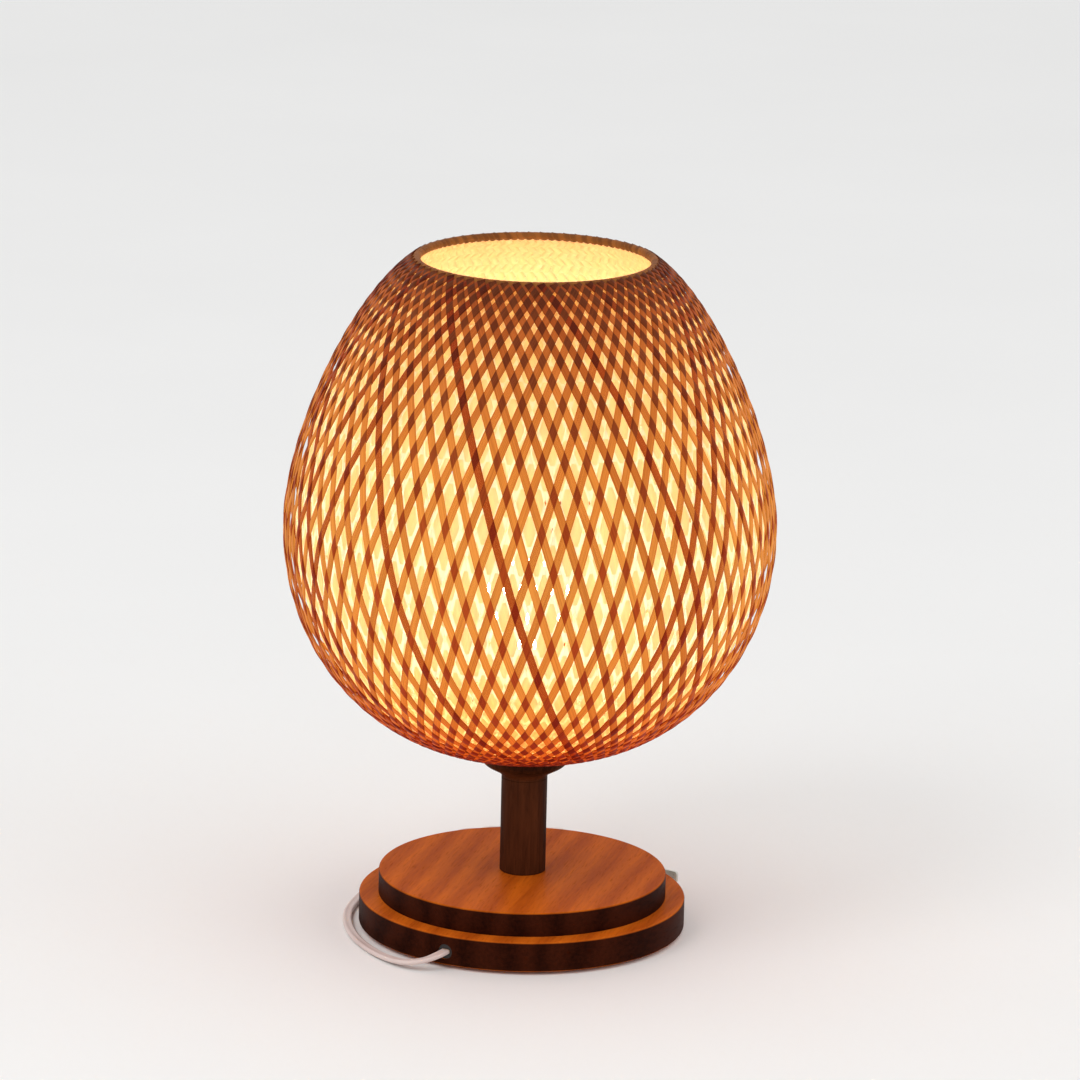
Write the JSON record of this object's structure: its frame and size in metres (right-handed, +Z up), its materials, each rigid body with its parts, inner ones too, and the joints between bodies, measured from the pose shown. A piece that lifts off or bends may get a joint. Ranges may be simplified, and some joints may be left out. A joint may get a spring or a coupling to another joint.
{
  "type": "table lamp",
  "caption": "Table lamp with a double-walled woven bamboo balloon shade, open at the top, on a turned wooden stem and a stepped round base, with flex, in-line switch and plug.",
  "frame": {"origin": "centre of the base's underside, on the surface that the lamp stands on", "axes": "+Z up along the stem; -Y is the front, and the cord leaves at the front left, 27 degrees from -Y towards -X"},
  "size_m": [0.25, 0.258, 0.35],
  "materials": {
    "turned_wood": "satin oiled walnut, fine open grain",
    "bamboo_strip": "split bamboo strip, matt, thin enough to glow",
    "bamboo_lining": "pale fine bamboo weave, matt",
    "bamboo_rim": "dark rolled bamboo binding",
    "felt": "dense black felt",
    "zinc_steel": "zinc plated",
    "brass": "bright",
    "nickel": "nickel plated",
    "black_plastic": "moulded, fine texture",
    "ceramic": "glazed",
    "opal_glass": "etched opal",
    "clear_glass": "clear",
    "phosphor": "yellow phosphor coat",
    "black_glass": "fused black glass",
    "flex_pvc": "soft warm white PVC",
    "white_plastic": "moulded, satin",
    "tie_nylon": "soft"
  },
  "bodies": {
    "lamp": {"base_pad": "felt", "base_lower_disc": "turned_wood", "base_upper_disc": "turned_wood", "base_screws": "zinc_steel", "stem": "turned_wood", "collar": "turned_wood", "threaded_tube": "zinc_steel", "tube_washer": "zinc_steel", "tube_nut": "zinc_steel", "shade_outer_weave": "bamboo_strip", "shade_inner_weave": "bamboo_lining", "shade_rim": "bamboo_rim", "shade_disc": "turned_wood", "shade_clamp_washer": "zinc_steel", "holder_cap": "black_plastic", "holder_body": "black_plastic", "holder_insert": "ceramic", "holder_screw_shell": "nickel", "holder_centre_tongue": "brass", "holder_terminals": "brass", "holder_wires": "flex_pvc", "cord_bush": "black_plastic", "inner_flex": "flex_pvc", "strain_tie": "tie_nylon", "cord_to_switch": "flex_pvc", "cord_to_hank": "flex_pvc", "cord_to_plug": "flex_pvc", "cord_hank": "flex_pvc", "hank_tie": "tie_nylon", "switch_lower_case": "white_plastic", "switch_upper_case": "white_plastic", "switch_pin": "nickel", "switch_contacts": "brass", "switch_screws": "zinc_steel", "plug_body": "white_plastic", "plug_blades": "nickel"},
    "bulb_screw": {"bulb_cap": "nickel", "bulb_insulator": "black_glass", "bulb_contact": "zinc_steel"},
    "bulb_glass": {"bulb_globe": "opal_glass", "bulb_mount": "clear_glass", "bulb_filaments": "phosphor"},
    "rocker": {"switch_rocker": "white_plastic"}
  },
  "joints": [
    {"name": "bulb_rise", "type": "slide", "parent": "lamp", "child": "bulb_screw", "axis": [0, 0, 1], "range_m": [0, 0.0145]},
    {"name": "bulb_turn", "type": "hinge", "parent": "bulb_screw", "child": "bulb_glass", "pos_m": [0, 0, 0.17], "axis": [0, 0, 1], "range_deg": [0, 1440]},
    {"name": "rocker_tip", "type": "hinge", "parent": "lamp", "child": "rocker", "pos_m": [0, 0.1245, 0.0082], "axis": [0, 1, 0], "range_deg": [0, 14]}
  ],
  "couplings": [
    {"joint": "bulb_rise", "follows": "bulb_turn", "m_per_rad": 0.00057614}
  ]
}
